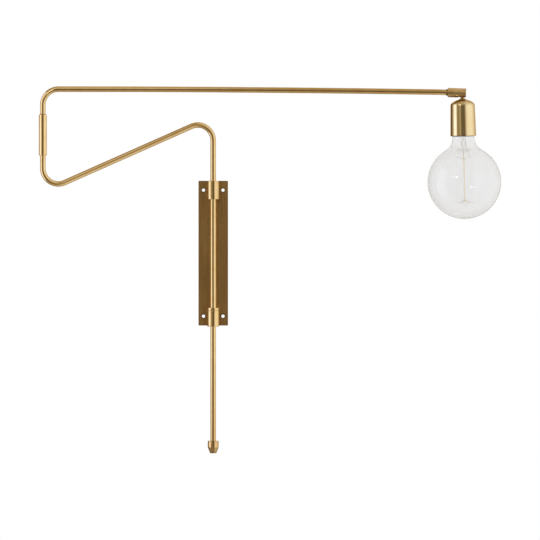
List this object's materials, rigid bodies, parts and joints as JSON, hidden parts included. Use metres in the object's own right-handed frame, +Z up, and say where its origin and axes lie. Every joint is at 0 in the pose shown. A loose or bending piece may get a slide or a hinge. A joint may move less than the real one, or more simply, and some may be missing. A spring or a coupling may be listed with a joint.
{
  "type": "swing arm wall lamp",
  "caption": "Brass tube wall lamp: a cranked lower arm turns in brackets on a wall plate, an upper arm turns at its elbow, and a tilting holder carries a clear globe bulb.",
  "frame": {"origin": "centre of the wall plate's back face, where it lies on the wall", "axes": "+Z up, +Y into the wall, +X to the right as seen from the room; the lamp stands out towards -Y"},
  "size_m": [0.7805, 0.1323, 0.62],
  "materials": {
    "plate_brass": "brushed and darkened",
    "tube_brass": "satin",
    "fitting_brass": "dull turned",
    "cover_brass": "polished",
    "contact_brass": "pressed sheet",
    "screw_steel": "zinc plated",
    "nylon": "natural nylon",
    "holder_black": "moulded",
    "holder_ceramic": "glazed ceramic",
    "bulb_glass": "clear",
    "stem_glass": "clear",
    "cap_metal": "rolled",
    "cap_black": "black glass",
    "bulb_wire": "drawn wire",
    "filament_wire": "drawn wire"
  },
  "bodies": {
    "wall_mount": {"wall_plate": "plate_brass", "upper_bracket": "tube_brass", "lower_bracket": "tube_brass", "bracket_screws": "screw_steel", "upper_bush": "nylon", "lower_bush": "nylon"},
    "lower_arm": {"lower_arm_tube": "tube_brass", "stop_collar": "tube_brass", "stop_collar_screw": "screw_steel", "cord_gland": "tube_brass", "cord_gland_screw": "screw_steel", "elbow_sleeve": "tube_brass", "elbow_fixing_screw": "screw_steel", "elbow_retaining_screw": "screw_steel", "elbow_washer": "nylon"},
    "upper_arm": {"upper_arm_tube": "tube_brass", "end_fitting": "fitting_brass", "knuckle_pin": "screw_steel", "end_fitting_screw": "screw_steel"},
    "lamp_head": {"knuckle_link": "fitting_brass", "lamp_cover": "cover_brass", "lampholder_body": "holder_black", "lampholder_insulator": "holder_ceramic", "lampholder_shell": "contact_brass", "lampholder_contact": "contact_brass", "terminal_screws": "screw_steel", "bulb_glass": "bulb_glass", "bulb_cap": "cap_metal", "bulb_cap_insulator": "cap_black", "bulb_contact": "cap_metal", "bulb_stem": "stem_glass", "bulb_lead_wires": "bulb_wire", "bulb_support_wires": "bulb_wire", "bulb_filament": "filament_wire"}
  },
  "joints": [
    {"name": "arm_swing", "type": "hinge", "parent": "wall_mount", "child": "lower_arm", "pos_m": [0, -0.014, 0], "axis": [0, 0, 1], "range_deg": [-11, 169]},
    {"name": "elbow_swing", "type": "hinge", "parent": "lower_arm", "child": "upper_arm", "pos_m": [-0.28722, -0.06983, 0.2], "axis": [0, 0, 1], "range_deg": [-170, 170]},
    {"name": "head_tilt", "type": "hinge", "parent": "upper_arm", "child": "lamp_head", "pos_m": [0.42062, -0.06983, 0.27012], "axis": [0, -1, 0], "range_deg": [-18, 86]}
  ]
}
